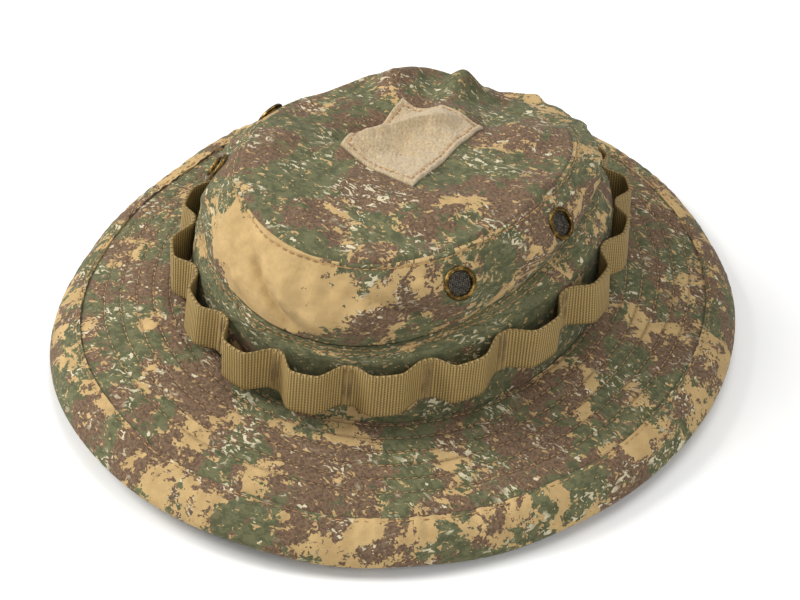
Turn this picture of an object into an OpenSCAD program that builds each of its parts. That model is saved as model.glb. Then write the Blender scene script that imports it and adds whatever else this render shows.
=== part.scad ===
// Boonie hat: soft crown, looped webbing band, wide stitched brim and screened vents.
// Millimetres, +Z up. The wearer faces -Y, and the lowest point of the brim's edge is at Z = 0.
// Angles run round the hat from +X (the wearer's left side) towards +Y (the back).

/* [Head opening] */
// Width of the seam that joins crown and brim, side to side
head_w = 167; // [150:1:190]
// Length of that seam, front to back
head_l = 206; // [180:1:235]
// Average height of the seam above the brim's edge
seat_h = 22; // [18:1:32]

/* [Brim] */
// Average straight distance from the seam to the brim's edge
brim_reach = 60; // [50:1:75]
// How far the brim bows up between the seam and its edge
brim_bow = 7.5; // [0:0.5:10]
// Thickness of the top and under plies, each
ply_t = 0.8; // [0.4:0.1:1.5]
// Thickness of the stiffening layer between them
core_t = 1.2; // [0.6:0.1:2.5]
// Width of the binding round the edge, on each face
binding_w = 17; // [8:1:24]
// Thickness of the binding
binding_t = 0.8; // [0.4:0.1:1.5]
// Height of the two waves of the edge
wave_2 = 2.6; // [0:0.1:5]
// Height of the three waves of the edge
wave_3 = 3.4; // [0:0.1:5]

/* [Crown] */
// Average height of the lower band, as slumped
band_h = 37; // [34:1:46]
// Average height of the top seam above the band, as slumped
wall_h = 22; // [15:1:40]
// How far the band's top edge lies inside the seam
band_inset = 10; // [5:0.5:13]
// How far the edge of the top panel lies inside the seam
top_inset = 20; // [15:0.5:28]
// How far the sidewall puffs out where it stands up
wall_puff = 4; // [0:0.5:8]
// How much further it puffs out where it has slumped
wall_roll = 6; // [0:0.5:9]
// How far the top panel domes up over its seam
top_puff = 4; // [0:1:15]
// Thickness of the top panel and sidewall, with their lining
fabric_t = 1; // [0.6:0.1:2]
// Thickness of the folded lower band
band_t = 1.4; // [0.8:0.1:2.5]

/* [Inside] */
// Height of the sweatband
sweat_h = 30; // [20:1:34]
// Thickness of the sweatband
sweat_t = 1.8; // [1:0.1:3]
// Share of the sidewall that the tape over the top seam covers, inside
tape_share = 0.12; // [0.08:0.01:0.16]
// Thickness of that tape
tape_t = 0.6; // [0.4:0.1:1.2]
// Width of the blank size label
label_w = 34; // [20:1:50]
// Height of the blank size label
label_h = 16; // [10:1:22]

/* [Webbing] */
// Width of the webbing
web_w = 20; // [15:1:25]
// Thickness of the webbing
web_t = 1.4; // [0.8:0.1:2]
// Number of loops round the band
loop_count = 18; // [12:1:22]
// How far each loop stands out from the band
loop_depth = 9; // [8:0.5:14]
// Average height of the webbing's lower edge above the seam
web_lift = 8.5; // [8:0.5:12]

/* [Patch] */
// Width of the loop panel on the crown, side to side
patch_w = 40; // [30:1:50]
// Length of the loop panel, front to back
patch_l = 57; // [40:1:62]
// Thickness of the loop panel
patch_t = 1.8; // [1:0.1:3]

/* [Vents] */
// Outer diameter of the eyelet's flange
eyelet_d = 14; // [12.5:0.5:16]
// Diameter of the open middle of the eyelet
screen_d = 10; // [7:0.5:10]
// Thickness of the eyelet's metal
eyelet_t = 0.5; // [0.4:0.1:0.8]
// Height of the eyelet's rolled flange
flange_h = 1.2; // [1:0.1:2]

/* [Stitching] */
// Rows of quilting on the brim
quilt_rows = 6; // [3:1:7]
// Distance between the rows
quilt_pitch = 7; // [4:0.5:8]
// Width of a row of thread
thread_w = 0.9; // [0.6:0.1:1.4]
// Height of a row of thread above the cloth
thread_h = 0.45; // [0.3:0.05:0.8]

/* [Hidden] */

camo_tan = [0.62, 0.53, 0.36];
camo_green = [0.35, 0.38, 0.27];
camo_brown = [0.42, 0.33, 0.27];
webbing_khaki = [0.55, 0.47, 0.30];
panel_beige = [0.72, 0.64, 0.48];
thread_tan = [0.66, 0.52, 0.32];
brass = [0.45, 0.38, 0.22];
screen_black = [0.10, 0.10, 0.10];
lining_olive = [0.36, 0.36, 0.26];

steps = 72;                      // sections round the hat
step = 360 / steps;
gap = 0.1;                       // clearance between pieces that lie on each other
brim_t = 2 * ply_t + core_t + 2 * gap;

// The cloth slumps. Each seam's height varies round the hat by a tilt, given as its rise towards +X
// and towards the back, and by a saddle, given as its height and the turn of its high side.
seat_tilt = [-1.6, -5.1];
seat_saddle = [3.9, 35.5];
web_tilt = [7.8, 1];
web_saddle = [2.7, 6.4];
band_tilt = [6.9, 2.5];
band_saddle = [5.1, 25.6];
band_shift = [-1.8, -5.3];       // drift of the band's top edge
top_tilt = [6.2, -10.3];
top_saddle = [5.9, 22.8];
top_shift = [-2, 0];             // drift of the top seam
reach_tilt = [3.9, -6.9];        // the brim reaches further out at the front and the left side
reach_saddle = [1.6, 52];
hump = [12, 128, 24];            // the back of the top seam stands up: height, turn, half width
roll_turn = 80;                  // the middle of the slumped part of the sidewall
upright_in = 1.5;                // the band leans in this far behind the webbing
loop_turn = -4;                  // turn of the first tack from +X
panel_at = [-7.3, 9];            // middle of the loop panel
panel_turn = 5;                  // turn of the loop panel
panel_lift = 0.8;                // clearance between the folded top and the loop panel

// Folds of the top panel: centre x and y, direction, half length, half width, height.
top_folds = [
    [-15, 10, 70, 34, 9, 4.5],
    [-28, 6, 72, 30, 9, -5.5],
    [-11, 42, 70, 12, 12, 4],
    [-47, 50, 140, 20, 8, 7],
    [-20, 72, 105, 20, 8, 10]
];

// Vents: where each one sits round the sidewall, with its share of the wall's height.
vent_names = ["left_front", "left_back", "right_front", "right_back"];
vent_turns = [-32.5, 3.5, 212.5, 176.5];
vent_rises = [0.64, 0.62, 0.56, 0.5];
eyelet_slack = 0.2;              // clearance round the eyelet's barrel
screen_t = 0.5;
washer_t = 0.6;

// ---- the surfaces of the cloth ----

// A point over the seam's outline, moved out by out, at height z.
function spot(t, out, z) = [(head_w / 2 + out) * cos(t), (head_l / 2 + out) * sin(t), z];

// A level unit vector straight out of the hat at t.
function out_dir(t) = let (d = [head_l * cos(t), head_w * sin(t), 0]) d / norm(d);

// The variation of a height round the hat, from its tilt and its saddle.
function slump(t, tilt, saddle) =
    tilt.x * cos(t) + tilt.y * sin(t) + saddle.x * cos(2 * (t - saddle.y));

function seam_z(t) = seat_h + slump(t, seat_tilt, seat_saddle);
function wave(t) = wave_2 * cos(2 * (t - 105)) + wave_3 * cos(3 * (t - 14));
wave_low = min([for (t = [0:5:359]) wave(t)]);
function edge_z(t) = wave(t) - wave_low;
function reach(t) = brim_reach + slump(t, reach_tilt, reach_saddle);

// The brim's line from the seam (u = 0) to the edge (u = 1), bowed above the straight line. It
// curls down under the binding, which starts just outside bow_at.
function bow_at(t) = 1 - 0.9 * binding_w / reach(t);
function bow(t, u) =
    u < bow_at(t)
        ? let (x = u / bow_at(t)) brim_bow * (1.35 * x - 0.35 * x * x)
        : let (y = (u - bow_at(t)) / (1 - bow_at(t))) brim_bow * (1 - y * y);
function bow_slope(t, u) = (bow(t, u + 0.01) - bow(t, u - 0.01)) / (0.02 * reach(t));

// A point of the brim at depth below its top face.
function brim_spot(t, u, depth) =
    let (
        droop = asin((seam_z(t) - edge_z(t)) / reach(t)),
        k = bow_slope(t, u),
        run = sqrt(1 + k * k),
        along = reach(t) * u + depth * k / run,
        up = bow(t, u) - depth / run,
        out = gap + along * cos(droop) + up * sin(droop)
    )
    spot(t, out, seam_z(t) - along * sin(droop) + up * cos(droop));

// The band stands upright behind the webbing, then folds in to its top edge.
function band_top_z(t) = seam_z(t) + band_h + slump(t, band_tilt, band_saddle);
function web_z(t) = seam_z(t) + web_lift + slump(t, web_tilt, web_saddle);
function shoulder_z(t) = min(web_z(t) + web_w, band_top_z(t) - 3);
function band_edge(t) = [
    (head_w / 2 - band_inset) * cos(t) + band_shift.x,
    (head_l / 2 - band_inset) * sin(t) + band_shift.y,
    band_top_z(t)
];
// A point of the band from its foot (v = 0) over its shoulder (v = 0.6) to its top edge (v = 1).
function band_spot(t, v, inset) =
    let (
        foot_z = seam_z(t) - brim_t,
        lean = upright_in * v / 0.6,
        shoulder = spot(t, -upright_in, shoulder_z(t)),
        face = v < 0.6
            ? spot(t, -lean, foot_z + (shoulder_z(t) - foot_z) * v / 0.6)
            : shoulder + (band_edge(t) - shoulder) * (v - 0.6) / 0.4
    )
    face - inset * out_dir(t);

// The top panel's height at x, y: a tilted saddle with a hump, a dome and folds that die out at its seam.
function fold_height(f, x, y) =
    let (
        along = (x - f[0]) * cos(f[2]) + (y - f[1]) * sin(f[2]),
        across = (y - f[1]) * cos(f[2]) - (x - f[0]) * sin(f[2])
    )
    f[5] * exp(-pow(along / f[3], 2) - pow(across / f[4], 2));
function top_z(x, y) =
    let (
        p = (x - top_shift.x) / (head_w / 2 - top_inset),
        q = (y - top_shift.y) / (head_l / 2 - top_inset),
        r = sqrt(p * p + q * q),
        t = atan2(q, p),
        calm = max(0, 1 - r * r)
    )
    seat_h + band_h + wall_h + r * slump(t, top_tilt, [r * top_saddle.x, top_saddle.y])
        + hump[0] * pow(r, 3) * exp(-pow((t - hump[1]) / hump[2], 2)) + top_puff * calm
        + min(1, 4 * calm) * sum([for (f = top_folds) fold_height(f, x, y)]);
function sum(list) = [for (x = list) 1] * list;

// A point of the sidewall from the band's edge (v = 0) to the top seam (v = 1).
function top_edge(t) =
    let (
        x = (head_w / 2 - top_inset) * cos(t) + top_shift.x,
        y = (head_l / 2 - top_inset) * sin(t) + top_shift.y
    )
    [x, y, top_z(x, y)];
function puff(t) = wall_puff + wall_roll * pow((1 + cos(t - roll_turn)) / 2, 1.5);
function wall_spot(t, v, inset) =
    band_edge(t) + (top_edge(t) - band_edge(t)) * v + (puff(t) * sin(180 * v) - inset) * out_dir(t);

// ---- the place of the whole hat ----

outline = [for (t = [0:step:359]) brim_spot(t, 1, brim_t / 2)];
xs = [for (p = outline) p.x];
ys = [for (p = outline) p.y];
feet = [for (t = [0:step:359]) brim_spot(t, 1, brim_t + gap + binding_t).z];
rest = [-(max(xs) + min(xs)) / 2, -(max(ys) + min(ys)) / 2, -min(feet)];

// ---- builders ----

// A closed hoop: each section is a closed outline, and the last section joins the first.
module hoop(sections) {
    n = len(sections);
    m = len(sections[0]);
    polyhedron(
        points = [for (s = sections) each s],
        faces = [
            for (i = [0:n - 1], j = [0:m - 1])
                let (
                    a = i * m + j,
                    b = i * m + (j + 1) % m,
                    c = ((i + 1) % n) * m + (j + 1) % m,
                    d = ((i + 1) % n) * m + j
                )
                each [[a, b, c], [a, c, d]]
        ]
    );
}

// A closed lens: rings run from the first pole, out round the rim and back to the last pole.
module lens(first, rings, last) {
    n = len(rings[0]);
    k = len(rings);
    polyhedron(
        points = concat([first], [for (r = rings) each r], [last]),
        faces = concat(
            [for (i = [0:n - 1]) [0, 1 + (i + 1) % n, 1 + i]],
            [
                for (r = [0:k - 2], i = [0:n - 1])
                    let (
                        a = 1 + r * n + i,
                        b = 1 + r * n + (i + 1) % n,
                        c = b + n,
                        d = a + n
                    )
                    each [[a, b, c], [a, c, d]]
            ],
            [for (i = [0:n - 1]) [k * n + 1, 1 + (k - 1) * n + i, 1 + (k - 1) * n + (i + 1) % n]]
        )
    );
}

// A row of thread along a closed line of points, each with the cloth's normal there.
module thread_row(line) {
    n = len(line);
    hoop([
        for (i = [0:n - 1])
            let (
                p = line[i][0] + gap / 2 * line[i][1],
                ahead = line[(i + 1) % n][0] - line[(i + n - 1) % n][0],
                side = cross(ahead, line[i][1]) / norm(cross(ahead, line[i][1]))
            )
            [p + side * thread_w / 2, p + line[i][1] * thread_h, p - side * thread_w / 2]
    ]);
}

// The outward normal of a surface point, from its neighbours round and along the cloth.
function normal(round_way, along_way) = let (c = cross(round_way, along_way)) c / norm(c);

function brim_normal(t, u) =
    normal(brim_spot(t + 1, u, 0) - brim_spot(t - 1, u, 0),
           brim_spot(t, u - 0.01, 0) - brim_spot(t, u + 0.01, 0));
function wall_normal(t, v) =
    normal(wall_spot(t + 1, v, 0) - wall_spot(t - 1, v, 0),
           wall_spot(t, v + 0.01, 0) - wall_spot(t, v - 0.01, 0));

module settled() translate(rest) children();

// A layer of the brim from depth a to depth b.
module brim_layer(a, b) {
    settled() hoop([
        for (t = [0:step:359])
            let (us = [0, 0.2, 0.4, 0.6, bow_at(t), 0.88, ply_end])
            concat(
                [for (i = [0:6]) brim_spot(t, us[i], b)],
                [for (i = [6:-1:0]) brim_spot(t, us[i], a)]
            )
    ]);
}

// ---- brim ----

ply_end = 0.985;

module brim_top_ply() color(camo_green) brim_layer(0, ply_t);
module brim_interlining() color(lining_olive) brim_layer(ply_t + gap, ply_t + gap + core_t);
module brim_under_ply() color(camo_brown) brim_layer(brim_t - ply_t, brim_t);

// The binding folds round the edge: its outline runs in under the brim and back over it.
module brim_edge_binding() {
    inner_top = -gap;
    inner_under = brim_t + gap;
    color(camo_tan) settled() hoop([
        for (t = [0:step:359])
            let (
                us = [1 - binding_w / reach(t), bow_at(t), 0.88, 0.94, 0.992],
                fold = 1 + 0.5 * binding_t / reach(t)
            )
            concat(
                [for (u = us) brim_spot(t, u, inner_under + binding_t)],
                [brim_spot(t, fold, inner_under), brim_spot(t, fold, inner_top)],
                [for (i = [4:-1:0]) brim_spot(t, us[i], inner_top - binding_t)],
                [for (i = [0:4]) brim_spot(t, us[i], inner_top)],
                [for (i = [4:-1:0]) brim_spot(t, us[i], inner_under)]
            )
    ]);
}

// A row of thread round the brim: at distance out from the seam, plus share times its reach.
module brim_row(share, out, lift) {
    settled() thread_row([
        for (t = [0:step:359])
            let (u = share + out / reach(t))
            [brim_spot(t, u, -lift), brim_normal(t, u)]
    ]);
}

module brim_quilting_thread() {
    color(thread_tan) for (i = [0:quilt_rows - 1]) brim_row(0, 1.5 + quilt_pitch * i, 0);
}

module binding_stitching() {
    color(thread_tan) brim_row(1, 1.5 - binding_w, gap + binding_t);
}

// ---- crown ----

module crown_band() {
    vs = [0, 0.3, 0.6, 0.8, 1];
    color(camo_green) settled() hoop([
        for (t = [0:step:359])
            concat(
                [for (v = vs) band_spot(t, v, 0)],
                [for (i = [4:-1:0]) band_spot(t, vs[i], band_t)]
            )
    ]);
}

// The place of vent i: a point on the sidewall's middle face, turned to face straight out.
module at_vent(i) {
    t = vent_turns[i];
    v = vent_rises[i];
    n = wall_normal(t, v);
    settled() translate(wall_spot(t, v, 0))
        rotate([0, acos(n.z), atan2(n.y, n.x)])
        children();
}

module crown_sidewall() {
    vs = [0.02, 0.25, 0.5, 0.75, 1];
    color(camo_tan) difference() {
        settled() hoop([
            for (t = [0:step:359])
                concat(
                    [for (v = vs) wall_spot(t, v, 0)],
                    [for (i = [4:-1:0]) wall_spot(t, vs[i], fabric_t)]
                )
        ]);
        for (i = [0:3]) at_vent(i)
            cylinder(d = screen_d + 2 * eyelet_t + 2 * eyelet_slack, h = 12, center = true, $fn = 48);
    }
}

// Points of the top panel on a ring at share r of its edge, below the top face by depth.
function top_ring(r, depth) = [
    for (t = [0:step:359])
        let (
            e = top_edge(t),
            x = top_shift.x + (e.x - top_shift.x) * r,
            y = top_shift.y + (e.y - top_shift.y) * r
        )
        [x, y, top_z(x, y) - depth]
];

module crown_top_panel() {
    rs = [0.1, 0.2, 0.3, 0.4, 0.5, 0.6, 0.7, 0.8, 0.9, 0.99];
    lift = gap + fabric_t;
    middle = [top_shift.x, top_shift.y, top_z(top_shift.x, top_shift.y)];
    color(camo_green) settled() translate([0, 0, lift])
        lens(
            middle,
            concat([for (r = rs) top_ring(r, 0)], [for (i = [len(rs) - 1:-1:0]) top_ring(rs[i], fabric_t)]),
            middle - [0, 0, fabric_t]
        );
}

module crown_seam_tape() {
    inset = fabric_t + gap;
    color(lining_olive) settled() hoop([
        for (t = [0:step:359])
            [
                wall_spot(t, 0.98 - tape_share, inset), wall_spot(t, 0.98, inset),
                wall_spot(t, 0.98, inset + tape_t), wall_spot(t, 0.98 - tape_share, inset + tape_t)
            ]
    ]);
}

// A closed sheet between two grids of points, the first on its outer side.
module sheet(face, back) {
    n = len(face);
    m = len(face[0]);
    rim = concat(
        [for (j = [0:m - 2]) j],
        [for (i = [0:n - 2]) i * m + m - 1],
        [for (j = [m - 1:-1:1]) (n - 1) * m + j],
        [for (i = [n - 1:-1:1]) i * m]
    );
    k = len(rim);
    polyhedron(
        points = concat([for (row = face) each row], [for (row = back) each row]),
        faces = concat(
            [
                for (i = [0:n - 2], j = [0:m - 2])
                    let (a = i * m + j, b = a + 1, c = b + m, d = a + m)
                    each [
                        [a, b, c], [a, c, d],
                        [n * m + c, n * m + b, n * m + a], [n * m + d, n * m + c, n * m + a]
                    ]
            ],
            [
                for (i = [0:k - 1])
                    let (a = rim[i], b = rim[(i + 1) % k])
                    each [[b, a, n * m + a], [n * m + b, b, n * m + a]]
            ]
        )
    );
}

module sidewall_join_tape() {
    spread = 5;
    inset = fabric_t + gap + 0.3;
    function grid(depth) = [
        for (t = [90 - spread:spread:90 + spread])
            [for (v = [0.05:0.13:0.7]) wall_spot(t, v, inset + depth)]
    ];
    color(lining_olive) settled() sheet(grid(0), grid(tape_t));
}

module band_stitching() {
    color(thread_tan) for (v = [0.86, 0.96])
        settled() thread_row([
            for (t = [0:step:359])
                [
                    band_spot(t, v, 0),
                    normal(band_spot(t + 1, v, 0) - band_spot(t - 1, v, 0),
                           band_edge(t) - band_spot(t, 0.7, 0))
                ]
        ]);
}

module crown_top_stitching() {
    color(thread_tan) settled() thread_row([
        for (t = [0:step:359]) [wall_spot(t, 0.94, 0), wall_normal(t, 0.94)]
    ]);
}

// ---- inside ----

function foot_z(t) = seam_z(t) - brim_t;
function sweat_share(t, h) = min(0.58, 0.6 * h / (shoulder_z(t) - foot_z(t)));

module sweatband() {
    outer = band_t + gap;
    color(lining_olive) settled() hoop([
        for (t = [0:step:359])
            let (top = sweat_share(t, sweat_h))
            [
                band_spot(t, 0, outer), band_spot(t, top / 2, outer), band_spot(t, top, outer),
                band_spot(t, top, outer + sweat_t), band_spot(t, top / 2, outer + sweat_t),
                band_spot(t, 0, outer + sweat_t)
            ]
    ]);
}

module sweatband_stitching() {
    inset = band_t + gap + sweat_t;
    color(thread_tan) settled() thread_row([
        for (i = [0:steps - 1])
            let (t = -i * step, v = sweat_share(t, 3))
            [band_spot(t, v, inset), -out_dir(t)]
    ]);
}

module size_label() {
    inset = band_t + gap + sweat_t + 2 * gap;
    spread = label_w / head_w * 180 / PI;
    low = 7;
    function grid(depth) = [
        for (i = [-1:0.5:1])
            let (t = 90 + i * spread)
            [for (h = [low, low + label_h]) band_spot(t, sweat_share(t, h), inset + depth)]
    ];
    color(screen_black) settled() sheet(grid(0), grid(0.4));
}

// ---- webbing ----

function band_out(t, z) = -upright_in * (z - foot_z(t)) / (shoulder_z(t) - foot_z(t));
web_gap = 0.3;                   // between the band and the webbing at a tack
tack_share = 0.04;               // share of a loop's length that lies flat at each end
loop_step = 360 / loop_count;

// How far a loop stands out at share s of its length.
function loop_out(s) =
    let (x = max(0, min(1, (s - tack_share) / (1 - 2 * tack_share))))
    loop_depth * pow(sin(180 * x), 0.8);

module webbing_loops() {
    shares = [tack_share, 0.13, 0.26, 0.42, 0.58, 0.74, 0.87, 1 - tack_share];
    color(webbing_khaki) settled() hoop([
        for (i = [0:loop_count - 1], s = shares)
            let (
                t = (i + s) * loop_step + loop_turn,
                low = web_z(t),
                high = low + web_w,
                o = web_gap + loop_out(s)
            )
            [
                spot(t, band_out(t, low) + o, low), spot(t, band_out(t, low) + o + web_t, low),
                spot(t, band_out(t, high) + o + web_t, high), spot(t, band_out(t, high) + o, high)
            ]
    ]);
}

module webbing_bartacks() {
    tack = [0.5, 1.8, web_w - 2];
    color(thread_tan) for (i = [0:loop_count - 1]) {
        t = i * loop_step + loop_turn;
        z = web_z(t) + web_w / 2;
        lean = atan(upright_in / (shoulder_z(t) - foot_z(t)));
        d = out_dir(t);
        settled() translate(spot(t, band_out(t, z) + web_gap + web_t + gap + tack.x / 2, z))
            rotate([0, -lean, atan2(d.y, d.x)])
            cube(tack, center = true);
    }
}

// ---- loop panel ----

function panel_spot(x, y, depth) = [x, y, top_z(x, y) + gap + fabric_t + panel_lift + patch_t - depth];
function panel_normal(x, y) =
    normal([2, 0, top_z(x + 1, y) - top_z(x - 1, y)], [0, 2, top_z(x, y + 1) - top_z(x, y - 1)]);
// A point of the panel from its middle, at shares a and b of its half width and half length.
function panel_at_share(a, b) =
    panel_at + [
        a * patch_w / 2 * cos(panel_turn) - b * patch_l / 2 * sin(panel_turn),
        a * patch_w / 2 * sin(panel_turn) + b * patch_l / 2 * cos(panel_turn)
    ];

module loop_panel() {
    cells = 12;
    function grid(depth) = [
        for (i = [0:cells])
            [
                for (j = [cells:-1:0])
                    let (p = panel_at_share(2 * i / cells - 1, 2 * j / cells - 1))
                    panel_spot(p.x, p.y, depth)
            ]
    ];
    color(panel_beige) settled() sheet(grid(0), grid(patch_t));
}

module loop_panel_stitching() {
    stitch_in = 3;
    half = [1 - 2 * stitch_in / patch_w, 1 - 2 * stitch_in / patch_l];
    corners = [[-1, -1], [1, -1], [1, 1], [-1, 1]];
    per_side = 8;
    color(thread_tan) settled() thread_row([
        for (i = [0:3], k = [0:per_side - 1])
            let (
                c = corners[i] + (corners[(i + 1) % 4] - corners[i]) * k / per_side,
                p = panel_at_share(c.x * half.x, c.y * half.y)
            )
            [panel_spot(p.x, p.y, 0), panel_normal(p.x, p.y)]
    ]);
}

// ---- vents ----

barrel_r = screen_d / 2 + eyelet_t;
back_gap = 0.8;                  // the washer stands off the curved wall by this much
washer_z = -fabric_t - back_gap;

module vent_eyelet(i) {
    lip = 1;
    tail_z = washer_z - washer_t - gap;
    mid_r = (eyelet_d / 2 + screen_d / 2) / 2;
    half_w = (eyelet_d - screen_d) / 4;
    color(brass) at_vent(i) rotate_extrude($fn = 48) polygon(concat(
        [for (a = [0:20:180]) [mid_r + half_w * cos(a), gap + flange_h * sin(a)]],
        [
            [screen_d / 2, tail_z - eyelet_t], [barrel_r + lip, tail_z - eyelet_t],
            [barrel_r + lip, tail_z], [barrel_r, tail_z], [barrel_r, gap]
        ]
    ));
}

module vent_washer(i) {
    color(brass) at_vent(i) translate([0, 0, washer_z - washer_t]) difference() {
        cylinder(d = eyelet_d, h = washer_t, $fn = 48);
        translate([0, 0, -1]) cylinder(r = barrel_r + gap, h = washer_t + 2, $fn = 48);
    }
}

module vent_screen(i) {
    color(screen_black) at_vent(i) translate([0, 0, -fabric_t])
        cylinder(d = screen_d - 2 * gap, h = screen_t, $fn = 48);
}

brim_under_ply();
brim_interlining();
brim_top_ply();
brim_edge_binding();
brim_quilting_thread();
binding_stitching();
crown_band();
crown_sidewall();
crown_top_panel();
crown_seam_tape();
sidewall_join_tape();
band_stitching();
crown_top_stitching();
sweatband();
sweatband_stitching();
size_label();
webbing_loops();
webbing_bartacks();
loop_panel();
loop_panel_stitching();
for (i = [0:3]) {
    vent_eyelet(i);
    vent_washer(i);
    vent_screen(i);
}
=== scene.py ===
import bpy
import math
import numpy as np
from mathutils import Matrix, Vector


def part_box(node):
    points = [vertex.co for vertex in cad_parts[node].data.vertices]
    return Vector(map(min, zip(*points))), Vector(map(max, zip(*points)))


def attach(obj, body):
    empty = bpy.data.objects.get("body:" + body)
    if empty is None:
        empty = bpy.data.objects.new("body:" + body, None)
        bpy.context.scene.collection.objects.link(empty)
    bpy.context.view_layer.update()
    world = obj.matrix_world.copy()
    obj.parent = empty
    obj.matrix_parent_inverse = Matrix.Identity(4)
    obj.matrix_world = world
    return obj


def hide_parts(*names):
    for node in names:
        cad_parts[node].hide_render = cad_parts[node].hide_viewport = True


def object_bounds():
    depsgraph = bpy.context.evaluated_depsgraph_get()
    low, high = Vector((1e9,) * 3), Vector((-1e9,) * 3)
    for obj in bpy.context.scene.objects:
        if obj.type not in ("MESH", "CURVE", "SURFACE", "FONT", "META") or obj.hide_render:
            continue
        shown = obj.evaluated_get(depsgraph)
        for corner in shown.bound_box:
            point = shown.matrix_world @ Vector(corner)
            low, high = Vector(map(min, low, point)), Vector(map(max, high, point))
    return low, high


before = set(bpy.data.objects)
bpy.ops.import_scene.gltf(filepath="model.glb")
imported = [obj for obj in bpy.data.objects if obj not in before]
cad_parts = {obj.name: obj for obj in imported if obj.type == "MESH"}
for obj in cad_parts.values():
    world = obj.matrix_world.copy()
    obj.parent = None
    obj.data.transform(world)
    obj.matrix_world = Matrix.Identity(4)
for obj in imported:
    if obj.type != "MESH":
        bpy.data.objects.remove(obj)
CAD_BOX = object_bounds()

# ---------------- sizes, in millimetres
HEAD_W, HEAD_L, SEAT_H = 167.0, 206.0, 22.0
REACH, BOW = 60.0, 7.5
PLY_T, CORE_T, BINDING_W, BINDING_T = 0.8, 1.2, 17.0, 0.8
WAVE_2, WAVE_3 = 2.6, 3.4
BAND_H, WALL_H, BAND_INSET, TOP_INSET = 37.0, 22.0, 10.0, 20.0
WALL_PUFF, WALL_ROLL, TOP_PUFF = 4.0, 6.0, 4.0
FABRIC_T, BAND_T = 1.0, 1.4
SWEAT_H, SWEAT_T, TAPE_T = 30.0, 1.8, 0.6
LABEL_W, LABEL_H, LABEL_UP = 34.0, 16.0, 7.0
WEB_W, WEB_T, LOOPS, LOOP_DEPTH, WEB_LIFT = 20.0, 1.4, 18, 9.0, 8.5
PATCH_W, PATCH_L = 40.0, 57.0
SCREEN_D, BORE_R = 10.0, 5.3
ROWS, PITCH, FIRST_ROW = 6, 7.0, 1.5
BAND_ROWS, TOP_ROW = (0.86, 0.955), 0.94
TOP_HALF = (HEAD_W / 2 - TOP_INSET, HEAD_L / 2 - TOP_INSET)
GAP = 0.1
WALL_R = 84  # mean radius of the sidewall
BRIM_T = 2 * PLY_T + CORE_T + 2 * GAP
SEAT_TILT, SEAT_SADDLE = (-1.6, -5.1), (3.9, 35.5)
WEB_TILT, WEB_SADDLE = (7.8, 1.0), (2.7, 6.4)
BAND_TILT, BAND_SADDLE, BAND_SHIFT = (6.9, 2.5), (5.1, 25.6), (-1.8, -5.3)
TOP_TILT, TOP_SADDLE, TOP_SHIFT = (6.2, -10.3), (5.9, 22.8), (-2.0, 0.0)
REACH_TILT, REACH_SADDLE = (3.9, -6.9), (1.6, 52.0)
HUMP = (12.0, 128.0, 24.0)
ROLL_TURN, UPRIGHT_IN, LOOP_TURN = 80.0, 1.5, -4.0
PANEL_AT, PANEL_TURN = (-7.3, 9.0), 5.0
FOLDS = [
    (-15, 10, 70, 34, 9, 4.5), (-28, 6, 72, 30, 9, -5.5), (-11, 42, 70, 12, 12, 4),
    (-47, 50, 140, 20, 8, 7), (-20, 72, 105, 20, 8, 10),
]
VENTS = {
    "left_front": (-32.5, 0.64), "left_back": (3.5, 0.62),
    "right_front": (212.5, 0.56), "right_back": (176.5, 0.5),
}
WEB_GAP, TACK = 0.3, 0.04
BRIM_JOINS = (2.0, 182.0)
# small folds: ends, width, height, sharpness. On the top in mm, on the sidewall in turn and share
TOP_CREASES = [
    ((-30, -24), (2, 36), 4.0, 3.2, 0.8), ((-14, -30), (6, 10), 7.0, -1.6, 0.3),
    ((-33, -14), (-17, 26), 6.0, -1.6, 0.3), ((38, -50), (58, -12), 4.0, -1.9, 0.5),
    ((30, -44), (50, -6), 5.0, 1.2, 0.3), ((-52, -34), (-30, -8), 6.0, 1.5, 0.4),
    ((-44, -44), (-20, -24), 5.0, -1.3, 0.4), ((10, -62), (20, -30), 6.0, 1.0, 0.3),
    ((-52, 44), (-30, 66), 6.0, 1.2, 0.3), ((-36, 56), (-24, 74), 6.0, -2.0, 0.3),
    ((-22, 50), (-12, 78), 6.0, 0.8, 0.4), ((14, 30), (34, 60), 7.0, 1.6, 0.3),
]
WALL_CREASES = [
    ((252, 0.80), (287, 0.0), 3.8, -4.8, 0.7), ((262, 0.85), (298, 0.05), 5.5, 3.2, 0.4),
    ((240, 0.70), (268, 0.02), 5.0, 1.8, 0.4), ((298, 0.70), (324, 0.28), 3.2, -4.0, 0.9),
    ((310, 0.80), (322, 0.66), 4.0, 1.4, 0.4), ((334, 0.85), (350, 0.15), 3.5, -1.8, 0.7),
    ((340, 0.90), (358, 0.20), 5.0, 1.2, 0.3), ((228, 0.90), (246, 0.20), 6.0, 1.4, 0.4),
]
MM = 0.001


# ---------------- the cloth's surfaces
def cosd(t):
    return np.cos(np.radians(t))


def sind(t):
    return np.sin(np.radians(t))


def bell(x, width):
    return np.exp(-((x / width) ** 2))


def turn_from(t, at):
    """Turn from at to t, between -180 and 180."""
    return np.mod(t - at + 180, 360) - 180


def stack(*parts):
    return np.stack(np.broadcast_arrays(*parts), -1)


def ripples(points, length, seed, count=16):
    """Smooth noise of about unit size, from plane waves of about that length."""
    rng = np.random.default_rng(seed)
    ways = rng.normal(size=(count, points.shape[-1]))
    ways /= np.linalg.norm(ways, axis=1)[:, None]
    k = 2 * math.pi / length * rng.uniform(0.6, 1.6, count)
    phase = rng.uniform(0, 2 * math.pi, count)
    return np.sin(points @ (ways * k[:, None]).T + phase).sum(-1) / math.sqrt(count / 2)


def slump(t, tilt, saddle):
    return tilt[0] * cosd(t) + tilt[1] * sind(t) + saddle[0] * cosd(2 * (t - saddle[1]))


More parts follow.
